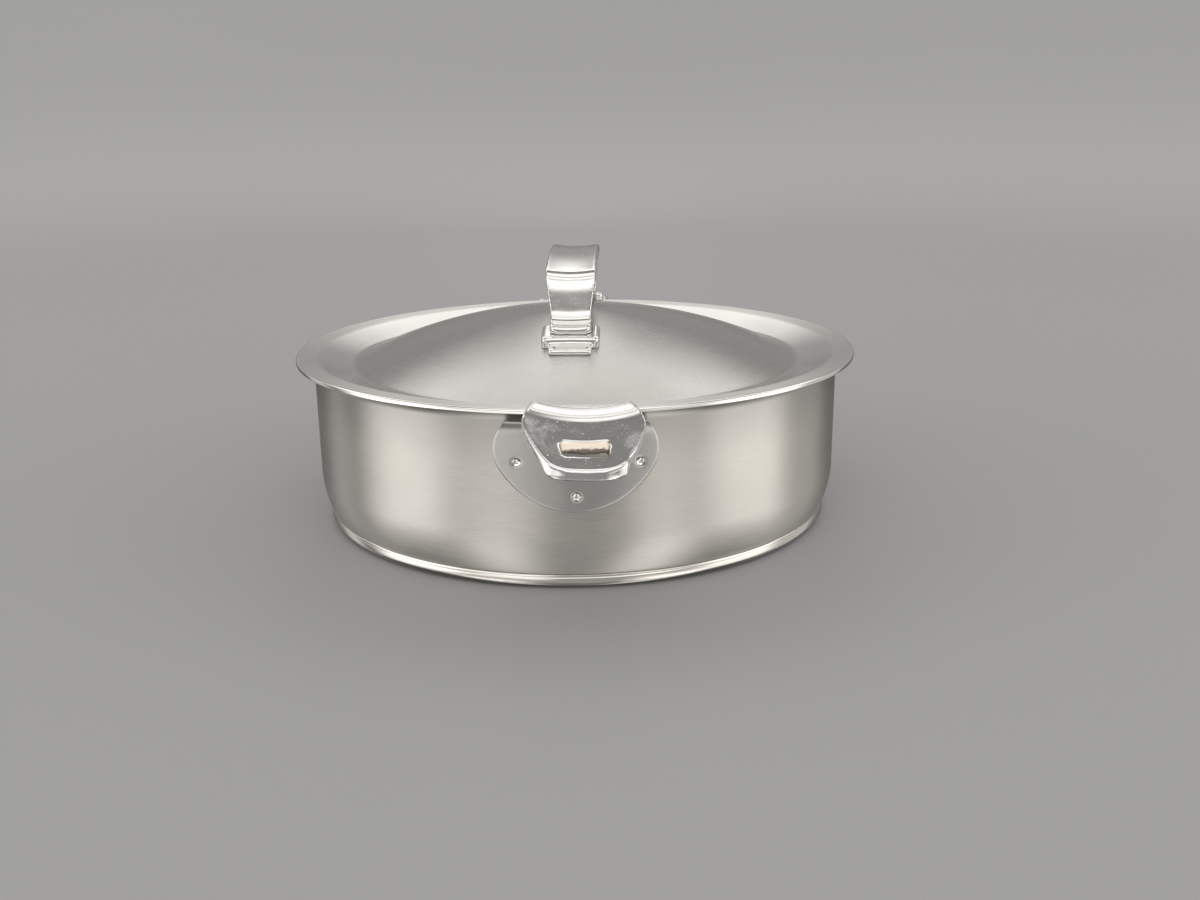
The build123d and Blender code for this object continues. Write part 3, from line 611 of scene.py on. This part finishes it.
for obj, mat in [
    (pot, wall_steel), (base, cap_steel), (lid_piece, lid_steel),
    (front_grip, grip_look), (rear_grip, grip_look), (strap, cast_look), (front_foot, cast_look), (rear_foot, cast_look),
    (front_sheet, plate_look), (rear_sheet, plate_look), (front_welds, weld_look), (rear_welds, weld_look),
]:
    obj.data.materials.clear()
    obj.data.materials.append(mat)
for name, node in nodes.items():
    look = {"base_core": core_look}.get(name)
    if look is not None:
        node.data.materials.clear()
        node.data.materials.append(look)

# ------------------------------------------------------------ floor and backdrop
def plain(name, color, rough, spec):
    k = Look(name, color, rough, metal=0.0)
    k.b.inputs["Specular IOR Level"].default_value = spec
    cloud = k.noise(k.coord, 1.6, 3.0, 0.5)
    k.put(k.b.inputs["Base Color"], k.mix(cloud, tuple(c * 0.97 for c in color), color))
    return k.mat


FLOOR = (0.385, 0.39, 0.40)
floor_mesh = bpy.data.meshes.new("studio_floor")
N = 128
fv = [(0.0, 0.0, -0.0002)] + [(1.5 * math.cos(2 * math.pi * k / N), 1.5 * math.sin(2 * math.pi * k / N), -0.0002) for k in range(N)]
floor_mesh.from_pydata(fv, [], [(0, 1 + k, 1 + (k + 1) % N) for k in range(N)])
floor = bpy.data.objects.new("studio_floor", floor_mesh)
bpy.context.scene.collection.objects.link(floor)
floor_mesh.materials.append(plain("studio_floor_paper", FLOOR, 0.45, 0.22))
floor.visible_glossy = False

sweep = [(1.5, -0.0002)] + [(1.5 + 1.2 * math.sin(math.radians(a)), -0.0002 + 1.2 * (1 - math.cos(math.radians(a)))) for a in range(3, 91, 3)] + [(2.7, 3.2)]
bv, bf = [], []
for i, (r, z) in enumerate(sweep):
    for k in range(N):
        bv.append((r * math.cos(2 * math.pi * k / N), r * math.sin(2 * math.pi * k / N), z))
for i in range(len(sweep) - 1):
    for k in range(N):
        m = (k + 1) % N
        bf.append((i * N + k, (i + 1) * N + k, (i + 1) * N + m, i * N + m))
back_mesh = bpy.data.meshes.new("studio_sweep")
back_mesh.from_pydata(bv, [], bf)
back_mesh.polygons.foreach_set("use_smooth", [True] * len(back_mesh.polygons))
back = bpy.data.objects.new("studio_sweep", back_mesh)
bpy.context.scene.collection.objects.link(back)
back_mesh.materials.append(plain("studio_sweep_paper", FLOOR, 0.45, 0.22))
back.visible_glossy = False
back.visible_diffuse = False
back.visible_shadow = False
back.visible_transmission = False

# ------------------------------------------------------------------------ light
world = bpy.data.worlds.new("studio")
bpy.context.scene.world = world
world.use_nodes = True
wt = world.node_tree
wt.nodes.clear()


def wmath(op, a, b=None, c=None):
    n = wt.nodes.new("ShaderNodeMath")
    n.operation = op
    for i, v in enumerate((a, b, c)):
        if isinstance(v, bpy.types.NodeSocket):
            wt.links.new(v, n.inputs[i])
        elif v is not None:
            n.inputs[i].default_value = v
    return n.outputs[0]


def wspan(v, a, b, c, d):
    n = wt.nodes.new("ShaderNodeMapRange")
    n.interpolation_type = "SMOOTHSTEP"
    for i, x in enumerate((v, a, b, c, d)):
        if isinstance(x, bpy.types.NodeSocket):
            wt.links.new(x, n.inputs[i])
        else:
            n.inputs[i].default_value = x
    return n.outputs[0]


direction = wt.nodes.new("ShaderNodeTexCoord").outputs["Generated"]
sep = wt.nodes.new("ShaderNodeSeparateXYZ")
wt.links.new(direction, sep.inputs[0])
dx, dy, dz = sep.outputs
azimuth = wmath("MULTIPLY", wmath("ARCTAN2", dx, wmath("MULTIPLY", dy, -1.0)), 180 / math.pi)   # 0 in front, +90 to the right
elevation = wmath("MULTIPLY", wmath("ARCSINE", dz), 180 / math.pi)


def between(v, lo, hi, soft_lo, soft_hi):
    return wmath("MULTIPLY", wspan(v, lo - soft_lo, lo + soft_lo, 0.0, 1.0), wspan(v, hi - soft_hi, hi + soft_hi, 1.0, 0.0))


def wall_panel(az0, az1, soft0, soft1, el0, el1, strength, soft_el0=16, soft_el1=12):
    """An upright soft panel between two azimuths."""
    e = between(elevation, el0, el1, soft_el0, soft_el1)
    return wmath("MULTIPLY", wmath("MULTIPLY", between(azimuth, az0, az1, soft0, soft1), e), strength)


def ceiling_panel(over0, over1, soft0, soft1, half, soft_side, strength, shift=0.0):
    """A soft panel across the room; over runs from the front horizon (0) through straight up (90) to the back (180)."""
    e = between(side, shift - half, shift + half, soft_side, soft_side)
    return wmath("MULTIPLY", wmath("MULTIPLY", between(over, over0, over1, soft0, soft1), e), strength)


side = wmath("MULTIPLY", wmath("ARCSINE", dx), 180 / math.pi)
over = wmath("MULTIPLY", wmath("ARCTAN2", dz, wmath("MULTIPLY", dy, -1.0)), 180 / math.pi)
room = wmath("ADD", wspan(elevation, -85.0, -15.0, 0.22, 0.24), wspan(elevation, -4.0, 14.0, 0.0, 0.13))
room = wmath("ADD", room, wspan(elevation, 30.0, 80.0, 0.0, -0.07))
low_back = wmath("MULTIPLY", wspan(over, -165.0, -150.0, 1.0, 0.0), wspan(elevation, -4.0, -14.0, 0.0, -0.12))
low_side = wmath("MULTIPLY", wspan(wmath("ABSOLUTE", azimuth), 72.0, 112.0, 0.0, 1.0), wspan(elevation, -22.0, -42.0, 0.0, -0.09))
total = wmath("ADD", wmath("ADD", room, low_back), low_side)
for p in (
    wall_panel(-100, -57, 9, 10, -25, 34, 1.08, 9),
    wall_panel(57, 97, 10, 8, -28, 34, 1.16, 12),
    wall_panel(-57, -27, 10, 12, -70, -25, 1.12, 12, 5),
    wall_panel(-90, -14, 10, 7, -20, -7, 0.98, 3, 3),
    wall_panel(27, 57, 12, 10, -72, -21, 1.26, 12, 5),
    wall_panel(24, 96, 8, 8, -15, -6, 0.75, 3, 3),
    wall_panel(-132, -116, 6, 6, -48, 16, 0.34),
    wall_panel(98, 131, 7, 7, -48, 16, 0.30),
    wall_panel(-30, 30, 12, 12, -85, 7, 0.11),
    wall_panel(-40, 40, 12, 12, -80, -44, 0.09, 8, 8),
    wall_panel(24, 54, 10, 10, -88, -60, 0.55, 6, 8),
    ceiling_panel(16, 46, 7, 6, 48, 12, 1.19),
    ceiling_panel(50, 62, 4, 4, 33, 9, 1.15),
    ceiling_panel(67, 89, 4, 6, 18, 12, 1.20),
    ceiling_panel(117, 136, 4, 14, 56, 12, 1.58),
    ceiling_panel(142, 154, 3, 11, 4, 4, 1.45),
):
    total = wmath("ADD", total, p)
tone = wt.nodes.new("ShaderNodeMix")
tone.data_type = "RGBA"
tone.inputs[0].default_value = 1.0
tone.blend_type = "MULTIPLY"
tone.inputs[7].default_value = (1.0, 0.975, 0.94, 1)
grey = wt.nodes.new("ShaderNodeCombineColor")
for i in range(3):
    wt.links.new(total, grey.inputs[i])
wt.links.new(grey.outputs[0], tone.inputs[6])
bg = wt.nodes.new("ShaderNodeBackground")
wt.links.new(tone.outputs[2], bg.inputs["Color"])
bg.inputs["Strength"].default_value = 1.0
wout = wt.nodes.new("ShaderNodeOutputWorld")
wt.links.new(bg.outputs[0], wout.inputs[0])

# ----------------------------------------------------------------------- camera
pitch, yaw, roll = 0.28334745, 0.01944792, -0.0111157
cp, sp, cy, sy, cr, sr = math.cos(pitch), math.sin(pitch), math.cos(yaw), math.sin(yaw), math.cos(roll), math.sin(roll)


def turned(x, y, z):
    return Vector((x * cy + y * sy, -x * sy + y * cy, z))


right_v = turned(cr, sr * sp, sr * cp)
up_v = turned(-sr, cr * sp, cr * cp)
look_v = turned(0.0, cp, -sp)
m = Matrix.Identity(4)
for i in range(3):
    m[i][0], m[i][1], m[i][2] = right_v[i], up_v[i], -look_v[i]
m.translation = Vector((0.0, -0.650994, 0.216685))
cam_data = bpy.data.cameras.new("camera")
cam_data.sensor_fit = "HORIZONTAL"
cam_data.sensor_width = 36.0
cam_data.lens = 36.0
cam_data.clip_start = 0.01
cam_data.clip_end = 50.0
cam = bpy.data.objects.new("camera", cam_data)
bpy.context.scene.collection.objects.link(cam)
cam.matrix_world = m
bpy.context.scene.camera = cam
bpy.context.scene.view_settings.view_transform = "Standard"
